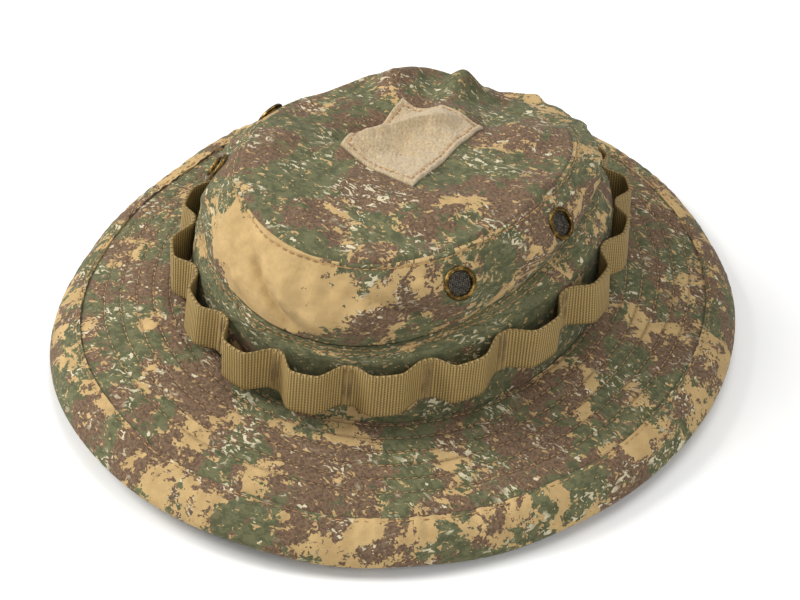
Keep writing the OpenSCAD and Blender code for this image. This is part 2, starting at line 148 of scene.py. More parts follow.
def spot(t, out, z):
    return stack((HEAD_W / 2 + out) * cosd(t), (HEAD_L / 2 + out) * sind(t), z)


def out_dir(t):
    x, y = HEAD_L * cosd(t), HEAD_W * sind(t)
    n = np.hypot(x, y)
    return stack(x / n, y / n, 0 * n)


def seam_z(t):
    return SEAT_H + slump(t, SEAT_TILT, SEAT_SADDLE)


def wave(t):
    return WAVE_2 * cosd(2 * (t - 105)) + WAVE_3 * cosd(3 * (t - 14))


WAVE_LOW = wave(np.arange(0, 360, 5.0)).min()


def edge_z(t):
    return wave(t) - WAVE_LOW


def reach(t):
    return REACH + slump(t, REACH_TILT, REACH_SADDLE)


def bow(t, u):
    at = 1 - 0.9 * BINDING_W / reach(t)
    x, y = u / at, (u - at) / (1 - at)
    return np.where(u < at, BOW * (1.35 * x - 0.35 * x * x), BOW * (1 - y * y))


def brim_at(t, u, depth):
    """A point of the brim at share u of its reach, that deep below its top face."""
    r = reach(t)
    droop = np.arcsin((seam_z(t) - edge_z(t)) / r)
    k = (bow(t, u + 0.01) - bow(t, u - 0.01)) / (0.02 * r)
    run = np.sqrt(1 + k * k)
    along, up = r * u + depth * k / run, bow(t, u) - depth / run
    out = GAP + along * np.cos(droop) + up * np.sin(droop)
    p = spot(t, out, seam_z(t) - along * np.sin(droop) + up * np.cos(droop))
    soft = np.clip(u, 0, 1) * (1 - 0.6 * np.clip(u, 0, 1))
    p[..., 2] += 1.1 * soft * ripples(p[..., :2], 75, 5)
    return p


def band_top_z(t):
    return seam_z(t) + BAND_H + slump(t, BAND_TILT, BAND_SADDLE)


def web_z(t):
    return seam_z(t) + WEB_LIFT + slump(t, WEB_TILT, WEB_SADDLE)


def lean_in(t, z):
    foot = seam_z(t) - BRIM_T
    return -UPRIGHT_IN * (z - foot) / (shoulder_z(t) - foot)


def shoulder_z(t):
    return np.minimum(web_z(t) + WEB_W, band_top_z(t) - 3)


def band_share(t, height):
    """Share of the band's hoop that is that many millimetres above its foot."""
    return 0.6 * height / (shoulder_z(t) - seam_z(t) + BRIM_T)


def band_edge(t):
    return stack(
        (HEAD_W / 2 - BAND_INSET) * cosd(t) + BAND_SHIFT[0],
        (HEAD_L / 2 - BAND_INSET) * sind(t) + BAND_SHIFT[1], band_top_z(t),
    )


def band_at(t, v, inset):
    foot = seam_z(t) - BRIM_T
    low = spot(t, -UPRIGHT_IN * v / 0.6, foot + (shoulder_z(t) - foot) * v / 0.6)
    shoulder = spot(t, -UPRIGHT_IN + 0 * v, shoulder_z(t) + 0 * v)
    high = shoulder + (band_edge(t) - shoulder) * ((v - 0.6) / 0.4)[..., None]
    return np.where((v < 0.6)[..., None], low, high) - np.asarray(inset)[..., None] * out_dir(t)


def fold_height(f, x, y):
    c, s = cosd(f[2]), sind(f[2])
    along, across = (x - f[0]) * c + (y - f[1]) * s, (y - f[1]) * c - (x - f[0]) * s
    return f[5] * np.exp(-((along / f[3]) ** 2) - (across / f[4]) ** 2)


def top_share(x, y):
    """Place on the top panel, as shares of its half width and half length."""
    return (x - TOP_SHIFT[0]) / TOP_HALF[0], (y - TOP_SHIFT[1]) / TOP_HALF[1]


def top_plan(t, r):
    return TOP_SHIFT[0] + r * TOP_HALF[0] * cosd(t), TOP_SHIFT[1] + r * TOP_HALF[1] * sind(t)


def top_z(x, y):
    p, q = top_share(x, y)
    r = np.hypot(p, q)
    t = np.degrees(np.arctan2(q, p))
    calm = np.maximum(0, 1 - r * r)
    plain = r * (TOP_TILT[0] * cosd(t) + TOP_TILT[1] * sind(t))
    saddle = r * r * TOP_SADDLE[0] * cosd(2 * (t - TOP_SADDLE[1]))
    hump = HUMP[0] * r ** 3 * bell(t - HUMP[1], HUMP[2])
    folds = sum(fold_height(f, x, y) for f in FOLDS)
    folds = np.minimum(1, 4 * calm) * folds
    return SEAT_H + BAND_H + WALL_H + plain + saddle + hump + TOP_PUFF * calm + folds


def top_edge(t):
    x, y = top_plan(t, 1)
    return stack(x, y, top_z(x, y))


def puff(t):
    return WALL_PUFF + WALL_ROLL * ((1 + cosd(t - ROLL_TURN)) / 2) ** 1.5


def wall_at(t, v, inset):
    a, b = band_edge(t), top_edge(t)
    lift = puff(t) * np.sin(math.pi * v) - inset
    return a + (b - a) * v[..., None] + lift[..., None] * out_dir(t)


def vent_spot(turn, share):
    return wall_at(np.float64(turn), np.float64(share), np.float64(0))


def near_segment(x, y, a, b):
    """Distance from the segment a-b, and the share along it."""
    dx, dy = b[0] - a[0], b[1] - a[1]
    s = np.clip(((x - a[0]) * dx + (y - a[1]) * dy) / (dx * dx + dy * dy), 0, 1)
    return np.hypot(x - a[0] - s * dx, y - a[1] - s * dy), s


def crease(x, y, a, b, width, height, sharp=1.0):
    """A fold from a to b that fades out at both ends."""
    d, s = near_segment(x, y, a, b)
    fade = np.sin(math.pi * np.clip(s, 0.04, 0.96)) ** 0.5
    return height * np.exp(-((d / width) ** (2 - 0.9 * sharp))) * fade


def top_relief(x, y):
    """Small folds and wrinkles that the top panel and its patch share."""
    xy = stack(x, y)
    p, q = top_share(x, y)
    calm = np.clip(6 * (1 - p * p - q * q), 0, 1)
    h = 0.75 * ripples(xy, 46, 21) + 0.3 * ripples(xy, 20, 22) + 0.10 * ripples(xy, 9, 23)
    for fold in TOP_CREASES:
        h += crease(x, y, *fold)
    return calm * h


def metric(t, v):
    """Place on the sidewall in millimetres: round the hat, and up the cloth."""
    return stack(np.radians(t) * WALL_R + 0 * v, 42 * v + 0 * t)


def wall_relief(t, v):
    m = metric(t, v)
    turn = np.mod(t, 360)
    back = bell(turn_from(t, 110), 75)
    squash = m * np.array([1.0, 0.55])
    h = 1.0 * ripples(squash, 40, 31) + 0.45 * ripples(squash, 17, 32) + 0.10 * ripples(m, 8, 33)
    slack = 0.9 * ripples(m * np.array([0.4, 1.6]), 26, 34)
    h += back * (1.9 * np.sin(2 * math.pi * (1.6 * v + 0.004 * turn)) + slack)
    for one, two, width, height, sharp in WALL_CREASES:
        ends = [metric(np.float64(end[0]), np.float64(end[1])) for end in (one, two)]
        h += crease(np.radians(turn) * WALL_R, m[..., 1], *ends, width, height, sharp)
    calm = np.clip(np.sin(math.pi * np.clip(v, 0, 1)), 0, 1) ** 0.6
    for vent in VENTS.values():
        away = np.linalg.norm(wall_at(t, v, 0 * v) - vent_spot(*vent), axis=-1)
        calm = calm * (1 - np.exp(-((away / 10.5) ** 4)))
    return calm * h


def settled():
    """Where the hat settled: the CAD band's box against the same hoop in the formulas' own frame."""
    t = np.arange(0, 360, 5.0)[:, None]
    v = np.array([[0, 0.3, 0.6, 0.8, 1.0]]) + 0 * t
    hoops = np.concatenate([band_at(t, v, depth + 0 * v) for depth in (0, BAND_T)]).reshape(-1, 3)
    return np.array(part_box("crown_band")[0]) / MM - hoops.min(0)


REST = settled()


# ---------------- meshes
def make(name, points, faces, uv=None, smooth=55.0):
    """uv holds one pair for each corner of each face, in millimetres of cloth."""
    mesh = bpy.data.meshes.new(name)
    mesh.from_pydata(((points + REST) * MM).tolist(), [], faces)
    if uv is not None:
        layer = mesh.uv_layers.new(name="cloth")
        layer.data.foreach_set("uv", (np.asarray(uv, dtype=np.float32) * 0.01).ravel())
    mesh.polygons.foreach_set("use_smooth", np.ones(len(mesh.polygons), bool))
    if smooth:
        mesh.set_sharp_from_angle(angle=math.radians(smooth))
    mesh.validate()
    mesh.update()
    piece = bpy.data.objects.new(name, mesh)
    bpy.context.scene.collection.objects.link(piece)
    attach(piece, "root")
    return piece


def hoop(name, sections, uv, smooth=55.0):
    """sections: (n, m, 3), closed both ways. uv: (n + 1, m + 1, 2)."""
    n, m = sections.shape[:2]
    i, j = [a.ravel() for a in np.meshgrid(np.arange(n), np.arange(m), indexing="ij")]
    i2, j2 = (i + 1) % n, (j + 1) % m
    faces = np.stack([i * m + j, i * m + j2, i2 * m + j2, i2 * m + j], 1)
    corner = np.stack([uv[i, j], uv[i, j + 1], uv[i + 1, j + 1], uv[i + 1, j]], 1)
    return make(name, sections.reshape(-1, 3), faces.tolist(), corner, smooth)


def two_faced(name, face, back, uv, drop=None, close=True, smooth=55.0):
    """A thin sheet with an outer face and a back, (n, m, 3) each, closed round i if close.
    drop marks the cells (i, j) that are cut out. uv: (n + 1, m, 2) if close, else (n, m, 2)."""
    n, m = face.shape[:2]
    cells_i = n if close else n - 1
    keep = np.ones((cells_i, m - 1), bool) if drop is None else ~drop
    i, j = np.nonzero(keep)
    i2 = (i + 1) % n
    a, b, c, d = i * m + j, i * m + j + 1, i2 * m + j + 1, i2 * m + j
    k = n * m
    quads = [np.stack([a, d, c, b], 1), np.stack([a, b, c, d], 1) + k]
    u = [
        np.stack([uv[i, j], uv[i + 1, j], uv[i + 1, j + 1], uv[i, j + 1]], 1),
        np.stack([uv[i, j], uv[i, j + 1], uv[i + 1, j + 1], uv[i + 1, j]], 1),
    ]
    padded = np.zeros((cells_i + 2, m + 1), bool)
    padded[1:-1, 1:-1] = keep
    if close:
        padded[0, 1:-1], padded[-1, 1:-1] = keep[-1], keep[0]
    for di, dj, p, q in ((0, -1, 0, 3), (0, 1, 2, 1), (-1, 0, 1, 0), (1, 0, 3, 2)):
        open_side = keep & ~padded[1 + di : 1 + di + cells_i, 1 + dj : 1 + dj + m - 1]
        i, j = np.nonzero(open_side)
        if len(i) == 0:
            continue
        i2 = (i + 1) % n
        ring = [i * m + j, i * m + j + 1, i2 * m + j + 1, i2 * m + j]
        u4 = [uv[i, j], uv[i, j + 1], uv[i + 1, j + 1], uv[i + 1, j]]
        quads.append(np.stack([ring[p], ring[q], ring[q] + k, ring[p] + k], 1))
        u.append(np.stack([u4[p], u4[q], u4[q], u4[p]], 1))
    points = np.concatenate([face.reshape(-1, 3), back.reshape(-1, 3)])
    faces = np.concatenate(quads)
    used = np.unique(faces)
    remap = np.zeros(len(points), int)
    remap[used] = np.arange(len(used))
    return make(name, points[used], remap[faces].tolist(), np.concatenate(u), smooth)


def note(piece, name, values):
    """Stores a value for each grid point, front and back alike, for the material to read."""
    layer = piece.data.attributes.new(name, "FLOAT", "POINT")
    both = np.concatenate([values.ravel()] * 2).astype(np.float32)
    layer.data.foreach_set("value", both[: len(piece.data.vertices)])


def disc(name, rings, centre, rings_back, centre_back, uv_rings, smooth=55.0):
    """A closed lens. rings: (k, n, 3) from the middle out, and the same for the back."""
    k, n = rings.shape[:2]
    pts = np.concatenate([rings.reshape(-1, 3), rings_back.reshape(-1, 3), [centre], [centre_back]])
    r, i = [a.ravel() for a in np.meshgrid(np.arange(k - 1), np.arange(n), indexing="ij")]
    i2 = (i + 1) % n
    a, b, c, d = r * n + i, r * n + i2, (r + 1) * n + i2, (r + 1) * n + i
    faces = [np.stack([a, d, c, b], 1), np.stack([a, b, c, d], 1) + k * n]
    i = np.arange(n)
    i2 = (i + 1) % n
    last = (k - 1) * n
    faces.append(np.stack([last + i, last + i + k * n, last + i2 + k * n, last + i2], 1))
    flat = uv_rings.reshape(-1, 2)
    uv = flat[np.concatenate(faces) % (k * n)]
    out = np.concatenate(faces).tolist()
    tri = np.stack([i, i2, np.full(n, 2 * k * n)], 1)
    tri2 = np.stack([i2 + k * n, i + k * n, np.full(n, 2 * k * n + 1)], 1)
    mids = np.tile(flat[:n].mean(0), (n, 1))
    uvt = [np.stack([flat[i], flat[i2], mids], 1), np.stack([flat[i2], flat[i], mids], 1)]
    corners = np.concatenate([uv.reshape(-1, 2)] + [x.reshape(-1, 2) for x in uvt])
    return make(name, pts, out + tri.tolist() + tri2.tolist(), corners, smooth)


def arc(points):
    """Distance along closed points (n, 3): n + 1 values."""
    step = np.linalg.norm(np.roll(points, -1, 0) - points, axis=1)
    return np.concatenate([[0], np.cumsum(step)])


def stitches(name, rows, length=2.7, space=0.75, radius=0.26, closed=True, proud=0.10):
    """Separate stitches along each row (points, normals), each one a short arched capsule."""
    verts, faces, total = [], [], 0
    shares = np.array([0.0, 0.12, 0.5, 0.88, 1.0])
    size = np.array([0.45, 0.9, 1.0, 0.9, 0.45])
    rise = np.array([-0.9, 0.1, 1.0, 0.1, -0.9])
    sides, each = 6, 6 * len(shares)
    turn = np.arange(sides) * 2 * math.pi / sides
    for points, normals in rows:
        if closed:
            points, normals = np.vstack([points, points[:1]]), np.vstack([normals, normals[:1]])
        run = np.concatenate([[0], np.cumsum(np.linalg.norm(np.diff(points, axis=0), axis=1))])
        count = max(1, int(round(run[-1] / (length + space))))
        pitch = run[-1] / count
        start = np.arange(count) * pitch
        s = start[:, None] + shares[None] * (pitch - space)
        c = np.stack([np.interp(s, run, points[:, k]) for k in range(3)], -1)
        nrm = np.stack([np.interp(s, run, normals[:, k]) for k in range(3)], -1)
        nrm /= np.linalg.norm(nrm, axis=-1, keepdims=True)
        ahead = np.gradient(c, axis=1)
        side = np.cross(ahead, nrm)
        side /= np.linalg.norm(side, axis=-1, keepdims=True)
        c = c + nrm * (proud + radius * rise[None, :, None])
        ring = (
            c[:, :, None]
            + side[:, :, None] * (radius * size[None, :, None] * np.cos(turn))[..., None]
            + nrm[:, :, None] * (0.8 * radius * size[None, :, None] * np.sin(turn))[..., None]
        )
        verts.append(ring.reshape(-1, 3))
        base = total + np.arange(count)[:, None, None] * each
        r, a = np.meshgrid(np.arange(len(shares) - 1) * sides, np.arange(sides), indexing="ij")
        b = (a + 1) % sides
        q = np.stack([r + a, r + b, r + sides + b, r + sides + a], -1).reshape(-1, 4)
        faces += (base + q[None]).reshape(-1, 4).tolist()
        faces += (base[:, 0] + np.arange(sides)[None, ::-1]).tolist()
        faces += (base[:, 0] + each - sides + np.arange(sides)[None]).tolist()
        total += count * each
    return make(name, np.concatenate(verts), faces, None, 0)


def normals_of(f, t, v, dt=0.4, dv=0.01):
    """Outward normals of a surface f(t, v) that runs up or in with v."""
    a = f(t + dt, v) - f(t - dt, v)
    b = f(t, v + dv) - f(t, v - dv)
    n = np.cross(a, b)
    return n / np.linalg.norm(n, axis=-1, keepdims=True)


# ---------------- materials
def srgb(r, g, b):
    return tuple(((v / 255 + 0.055) / 1.055) ** 2.4 if v > 10 else v / 3295 for v in (r, g, b)) + (1.0,)


class Material:
    def __init__(self, name, roughness=0.85, sheen=0.0, metallic=0.0, specular=0.5):
        self.mat = bpy.data.materials.new(name)
        self.mat.use_nodes = True
        self.tree = self.mat.node_tree
        self.tree.nodes.clear()
        self.shader = self.fill(
            "BsdfPrincipled", Roughness=roughness, Metallic=metallic, Specular_IOR_Level=specular,
            Sheen_Weight=sheen, Sheen_Roughness=0.6,
        )
        out = self.node("OutputMaterial")
        self.tree.links.new(self.shader.outputs[0], out.inputs[0])

    def node(self, kind, **props):
        n = self.tree.nodes.new("ShaderNode" + kind)
        for key, value in props.items():
            setattr(n, key, value)
        return n

    def fill(self, kind, **values):
        """A node of that kind with its inputs set; their names have underscores for spaces."""
        n = self.node(kind)
        for key, value in values.items():
            self.put(n.inputs[key.replace("_", " ")], value)
        return n

    def put(self, socket, value):
        if isinstance(value, bpy.types.NodeSocket):
            self.tree.links.new(value, socket)
        else:
            socket.default_value = value

    def math(self, op, a, b=0.0, c=0.0):
        n = self.node("Math", operation=op)
        for socket, value in zip(n.inputs, (a, b, c)):
            self.put(socket, value)
        return n.outputs[0]

    def plus(self, a, b):
        return self.math("ADD", a, b)

    def minus(self, a, b):
        return self.math("SUBTRACT", a, b)

    def times(self, a, b):
        return self.math("MULTIPLY", a, b)

    def about(self, value, size):
        """A noise value of 0 to 1, centred on 0 and scaled."""
        return self.times(self.minus(value, 0.5), size)

    def mix(self, share, a, b):
        n = self.node("Mix", data_type="RGBA")
        self.put(n.inputs[0], share)
        self.put(n.inputs[6], a)
        self.put(n.inputs[7], b)
        return n.outputs[2]

    def place(self, kind="UV", scale=(1, 1, 1), move=(0, 0, 0), turn=0.0):
        if kind == "UV":
            source = self.node("UVMap", uv_map="cloth").outputs[0]
        else:
            source = self.node("TexCoord").outputs["Object"]
        turned = (0, 0, math.radians(turn))
        return self.fill("Mapping", Vector=source, Scale=scale, Location=move, Rotation=turned).outputs[0]

    def noise(self, place, scale, detail=2.0, rough=0.5, bend=0.0):
        values = dict(Vector=place, Scale=scale, Detail=detail, Roughness=rough, Distortion=bend)
        return self.fill("TexNoise", **values).outputs[0]

    def step(self, value, low, high, to_low=0.0, to_high=1.0):
        n = self.node("MapRange", interpolation_type="SMOOTHSTEP")
        for socket, v in zip(n.inputs, (value, low, high, to_low, to_high)):
            self.put(socket, v)
        return n.outputs[0]

    def weave(self, place, pitch, across=1.0):
        """Over-and-under threads, from 0 to 1. pitch is in decimetres of cloth."""
        x, y = self.split(place)
        k = 2 * math.pi / pitch
        a = self.math("SINE", self.times(x, k))
        b = self.math("SINE", self.times(y, k * across))
        return self.math("MULTIPLY_ADD", self.times(a, b), 0.5, 0.5)

    def split(self, place):
        n = self.node("SeparateXYZ")
        self.put(n.inputs[0], place)
        return n.outputs[0], n.outputs[1]

    def lines(self, value, pitch, width):
        """1 on thin lines every pitch along value, else 0."""
        share = self.math("FRACT", self.math("DIVIDE", value, pitch))
        away = self.math("ABSOLUTE", self.minus(share, 0.5))
        return self.step(away, 0.5 - width / pitch, 0.5 - 0.3 * width / pitch)

    def bump(self, height, depth, strength=1.0):
        n = self.fill("Bump", Strength=strength, Distance=depth, Height=height)
        self.put(self.shader.inputs["Normal"], n.outputs[0])

    def rough(self, value):
        self.put(self.shader.inputs["Roughness"], value)

    def colour(self, value):
        self.put(self.shader.inputs["Base Color"], value)

    def on(self, *pieces):
        for piece in pieces:
            if piece.material_slots:
                for one in piece.material_slots:
                    one.material = self.mat
            else:
                piece.data.materials.append(self.mat)


TAN, TAN_DARK = srgb(184, 156, 108), srgb(160, 132, 88)
GREEN, GREEN_DARK = srgb(99, 99, 70), srgb(80, 82, 57)
BROWN, BROWN_DARK = srgb(112, 90, 70), srgb(92, 73, 57)
PALE = srgb(196, 186, 156)


def camouflage(name, move, green=0.5, brown=0.5, turn=0.0, weave_turn=0.0, bare=None, lines=False):
    """Ripstop cotton with a made-up print: ragged blots over tan, broken up by small dabs."""
    m = Material(name, roughness=0.9, sheen=0.03, specular=0.2)
    p = m.place(move=(move, move * 1.7, 0), turn=turn)
    dab_p = m.place(move=(move * 1.3, move, 0), scale=(1, 1.35, 1), turn=turn + 12)
    dabs = m.noise(dab_p, 22, 3.0, 0.75, 0.4)
    dots = m.noise(p, 70, 1.0, 0.6)
    rag = m.plus(m.about(dabs, 0.15), m.about(dots, 0.10))
    big_a = m.noise(p, 3.4, 6.0, 0.68, 0.4)
    big_b = m.noise(m.place(move=(move + 7.3, 3.1 - move, 2.0), turn=turn), 3.8, 6.0, 0.68, 0.4)
    mid = m.noise(m.place(move=(move + 2.7, move + 9.1, 4.0), turn=turn), 9.0, 3.0, 0.65)
    spread = m.about(mid, 0.22)
    g = m.plus(m.plus(big_a, rag), spread)
    b = m.minus(m.plus(big_b, rag), spread)
    if bare is not None:
        x, y = m.split(m.place())
        dx = m.math("DIVIDE", m.minus(x, bare[0]), bare[2])
        dy = m.math("DIVIDE", m.minus(y, bare[1]), bare[3])
        away = m.math("SQRT", m.plus(m.times(dx, dx), m.times(dy, dy)))
        hold = m.times(m.step(away, 1.08, 0.6), 0.13)
        g, b = m.minus(g, hold), m.minus(b, hold)
    g_low, b_low = 0.5 + 0.32 * (0.5 - green), 0.5 + 0.32 * (0.5 - brown)
    is_green = m.step(g, g_low, g_low + 0.012)
    is_brown = m.step(b, b_low, b_low + 0.012)
    shade = m.step(m.noise(p, 6.0, 3.0, 0.6), 0.35, 0.65)
    tan = m.mix(shade, TAN, m.mix(0.45, TAN, TAN_DARK))
    brown_c = m.mix(m.step(dots, 0.46, 0.58), BROWN, BROWN_DARK)
    green_c = m.mix(m.step(dabs, 0.45, 0.58), GREEN, GREEN_DARK)
    base = m.mix(is_brown, tan, brown_c)
    base = m.mix(is_green, base, green_c)
    both = m.math("MAXIMUM", is_green, is_brown)
    fleck_p = m.place(move=(move + 5.0, 1.0, 0), scale=(1, 1.7, 1), turn=turn - 28)
    fleck = m.noise(fleck_p, 24, 2.5, 0.65, 0.6)
    where = m.step(m.noise(p, 4.2, 3.0, 0.6), 0.48, 0.62)
    tan_dab = m.times(m.step(fleck, 0.625, 0.635), both)
    base = m.mix(m.times(tan_dab, 0.9), base, tan)
    low = m.plus(0.405, m.times(where, 0.02))
    flecks = m.step(fleck, low, m.minus(low, 0.015))
    pale = m.times(m.times(flecks, where), both)
    blot_p = m.place(move=(move + 3.3, 2.0, 1.0), scale=(1, 1.5, 1), turn=turn + 40)
    blot = m.step(m.noise(blot_p, 12, 3.0, 0.6), 0.665, 0.67)
    base = m.mix(m.math("MAXIMUM", pale, m.times(blot, both)), base, PALE)
    cloth = m.place(turn=weave_turn)
    x, y = m.split(cloth)
    rip = m.math("MAXIMUM", m.lines(x, 0.05, 0.004), m.lines(y, 0.05, 0.004))
    weave = m.weave(cloth, 0.0085)
    slub = m.noise(m.place(scale=(1, 9, 1), turn=weave_turn), 22, 2.0, 0.6)
    worn = m.step(m.noise(p, 14, 4.0, 0.7), 0.3, 0.7, 0.90, 1.06)
    tone = m.times(worn, m.math("MULTIPLY_ADD", weave, 0.14, 0.92))
    tone = m.times(tone, m.math("MULTIPLY_ADD", slub, 0.12, 0.94))
    tone = m.times(tone, m.math("MULTIPLY_ADD", rip, -0.025, 1.0))
    if lines:
        # painted shade: the colour is darkened along the brim's quilting rows and just inside the binding,
        # where the cloth's grooves lie in shade
        stitch_groove_and_painted_shade = m.node("Attribute", attribute_name="stitch_groove_and_painted_shade").outputs["Fac"]
        tone = m.times(tone, m.math("MULTIPLY_ADD", stitch_groove_and_painted_shade, -0.42, 1.0))
    final = m.node("VectorMath", operation="SCALE")
    m.put(final.inputs[0], base)
    m.put(final.inputs["Scale"], tone)
    m.colour(final.outputs[0])
    m.rough(m.step(slub, 0.3, 0.7, 0.82, 0.95))
    height = m.plus(m.times(weave, 0.35), m.times(rip, 0.18))
    height = m.plus(height, m.times(slub, 0.5))
    m.bump(height, 0.00022, 0.8)
    return m


def plain_cloth(name, light, dark, pitch=0.009, rough=0.9, sheen=0.2, fuzz=0.5):
    m = Material(name, roughness=rough, sheen=sheen, specular=0.25)
    p = m.place()
    weave = m.weave(p, pitch)
    cloud = m.noise(p, 9, 4.0, 0.65)
    fibre = m.noise(m.place(scale=(1, 5, 1)), 60, 3.0, 0.7)
    share = m.plus(m.times(cloud, 0.5), m.times(fibre, 0.5))
    m.colour(m.mix(m.step(m.math("MULTIPLY_ADD", weave, 0.15, share), 0.35, 0.85), dark, light))
    m.rough(m.step(fibre, 0.3, 0.7, rough - 0.1, min(1.0, rough + 0.06)))
    m.bump(m.plus(weave, m.times(fibre, fuzz)), 0.0003, 0.7)
    return m


def webbing_material():
    """Nylon webbing: ribs across the tape every 1.25 mm, and fine warp threads along it."""
    m = Material("ribbed_webbing", roughness=0.62, sheen=0.0, specular=0.35)
    x, y = m.split(m.place())
    rib_pitch, warp_pitch = 0.0125, 0.0085
    rib = m.math("SINE", m.times(x, 2 * math.pi / rib_pitch))
    shift = m.times(m.math("ROUND", m.math("DIVIDE", x, rib_pitch)), 0.5)
    threads = m.plus(m.math("DIVIDE", y, warp_pitch), shift)
    warp = m.math("SINE", m.times(threads, 2 * math.pi))
    cross = m.plus(m.math("MULTIPLY_ADD", rib, 0.30, 0.5), m.times(warp, 0.26))
    cloud = m.noise(m.place(scale=(0.5, 3, 1)), 12, 3.0, 0.6)
    edge = m.step(m.math("ABSOLUTE", y), 0.088, 0.098)
    c = m.mix(m.step(cross, 0.1, 0.85), srgb(84, 68, 36), srgb(190, 161, 100))
    c = m.mix(m.step(cloud, 0.3, 0.7, 0.0, 0.22), c, srgb(128, 106, 64))
    c = m.mix(m.times(edge, 0.35), c, srgb(96, 78, 44))
    m.colour(c)
    m.rough(m.step(cross, 0.2, 0.8, 0.75, 0.55))
    m.bump(cross, 0.00035, 0.9)
    return m


def thread_material(name, light, dark):
    m = Material(name, roughness=0.6, sheen=0.1, specular=0.4)
    p = m.place("Object")
    m.colour(m.mix(m.step(m.noise(p, 160, 2.0), 0.35, 0.65), light, dark))
    twist = m.noise(m.place("Object", scale=(1, 1, 1.6)), 2600, 1.0)
    m.rough(m.step(twist, 0.3, 0.7, 0.5, 0.75))
    m.bump(twist, 0.00012, 0.6)
    return m


def pile_material():
    m = Material("loop_pile", roughness=0.95, sheen=0.45, specular=0.2)
    p = m.place()
    fuzz = m.noise(p, 70, 4.0, 0.75)
    curl = m.noise(p, 160, 2.0, 0.7, 1.5)
    cloud = m.noise(p, 6, 3.0, 0.6)
    c = m.mix(m.step(fuzz, 0.32, 0.68), srgb(160, 136, 98), srgb(200, 178, 136))
    c = m.mix(m.step(cloud, 0.35, 0.7, 0.0, 0.4), c, srgb(186, 156, 114))
    m.colour(m.mix(m.step(curl, 0.5, 0.7, 0.0, 0.35), c, srgb(226, 206, 168)))
    m.rough(m.step(fuzz, 0.3, 0.7, 0.88, 1.0))
    m.bump(m.plus(fuzz, curl), 0.0006, 0.9)
    return m


def brass_material():
    m = Material("antique_brass", roughness=0.4, metallic=1.0)
    p = m.place("Object")
    wear = m.noise(p, 420, 4.0, 0.7)
    stain = m.noise(p, 900, 3.0, 0.6)
    c = m.mix(m.step(wear, 0.45, 0.66), srgb(84, 66, 34), srgb(160, 130, 74))
    m.colour(m.mix(m.step(stain, 0.5, 0.7, 0.0, 0.6), c, srgb(62, 50, 30)))
    m.rough(m.step(stain, 0.3, 0.7, 0.28, 0.55))
    m.bump(wear, 0.00008, 0.5)
    return m


def wire_material():
    m = Material("dark_wire", roughness=0.45, metallic=0.6)
    p = m.place("Object")
    n = m.noise(p, 700, 3.0, 0.6)
    m.colour(m.mix(m.step(n, 0.35, 0.7), srgb(62, 60, 56), srgb(128, 120, 104)))
    m.rough(m.step(n, 0.3, 0.7, 0.35, 0.6))
    m.bump(n, 0.00005, 0.5)
    return m


def floor_material():
    m = Material("studio_floor", roughness=0.9, specular=0.1)
    n = m.noise(m.place("Object"), 3, 3.0)
    m.colour(m.mix(m.step(n, 0.3, 0.7), (0.90, 0.90, 0.89, 1), (0.92, 0.92, 0.91, 1)))
    return m


# ---------------- the surfaces as they look
TURNS = np.arange(0, 360, 0.625)[:, None]


def quilt(s, deep=0.62):
    """Swell of the cloth between the stitch rows at distance s from the head seam."""
    row = np.clip((s - FIRST_ROW) / PITCH, -0.5, ROWS - 0.5)
    return deep * np.abs(np.sin(math.pi * row)) ** 0.5


def brim_face(t, u, side=1):
    """Top (side 1) or under (side -1) face of the brim as the cloth swells and puckers there."""
    s = u * reach(t)
    m = stack(np.radians(t) * 120 + 0 * u, s)
    tug = 0.15 * (ripples(m * np.array([1.5, 0.35]), 9, 51 + side) + ripples(m, 22, 53 + side))
    join = sum(bell(np.radians(turn_from(t, a)) * (95 + s), 0.8) for a in BRIM_JOINS)
    away = reach(t) - s
    swell = (quilt(s) + tug) * np.clip((away - 17.5) / 3, 0, 1) - 0.45 * join
    return brim_at(t, u, -swell if side > 0 else BRIM_T + 0.8 * swell)


def band_face(t, v, inset=0.0):
    aside = ((-0.06, 0.25), (0, 0.5), (0.06, 0.25))
    soft = sum(w * band_at(t, np.clip(v + d, 0, 1), inset + 0 * v) for d, w in aside)
    ends = (np.clip((0.07 - v) / 0.07, 0, 1) + np.clip((v - 0.93) / 0.07, 0, 1))[..., None]
    p = soft * (1 - ends) + band_at(t, v, inset + 0 * v) * ends
    m = stack(np.radians(t) * 92 + 0 * v, 48 * v)
    up = np.clip((v - 0.5) / 0.3, 0, 1)
    h = up * (0.55 * ripples(m, 30, 61) + 0.25 * ripples(m * np.array([1.6, 0.6]), 10, 62))
    for row, deep, wide in zip(BAND_ROWS, (0.35, 0.3), (0.02, 0.015)):
        h = h - deep * bell(v - row, wide)
    h = h + 0.10 * ripples(m, 12, 63)
    return p + (h * np.clip((1.02 - v) / 0.1, 0.3, 1))[..., None] * out_dir(t)


def wall_face(t, v, inset=0.0):
    n = stack(cosd(t) * 0.94, sind(t) * 0.94, 0.34 + 0 * t)
    tuck = np.clip((0.05 - v) / 0.05, 0, 1)
    groove = np.clip((v - 0.965) / 0.035, 0, 1) ** 2
    row = 0.28 * bell(v - TOP_ROW, 0.012)
    swell = 0.35 * bell(v - 0.975, 0.012)
    p = wall_at(t, v, inset + (BAND_T + 0.3) * tuck)
    h = wall_relief(t, v) - row + swell - 1.4 * groove
    return p + h[..., None] * n


def top_face(x, y, lift=1.1):
    r = np.hypot(*top_share(x, y))
    rim = np.clip((r - 0.965) / 0.035, 0, 1.3) ** 2
    return stack(x, y, top_z(x, y) + lift + top_relief(x, y) - 2.0 * rim)


def top_spot(t, r, lift=1.1):
    return top_face(*top_plan(t, r), lift)


def round_uv(points, across):
    """uv with the arc length round row 0 and the given heights, closed: (n + 1, m, 2)."""
    run = arc(points)
    return stack(run[:, None], np.asarray(across)[None, :])


def plan_uv(points):
    return np.concatenate([points, points[:1]])[..., :2]


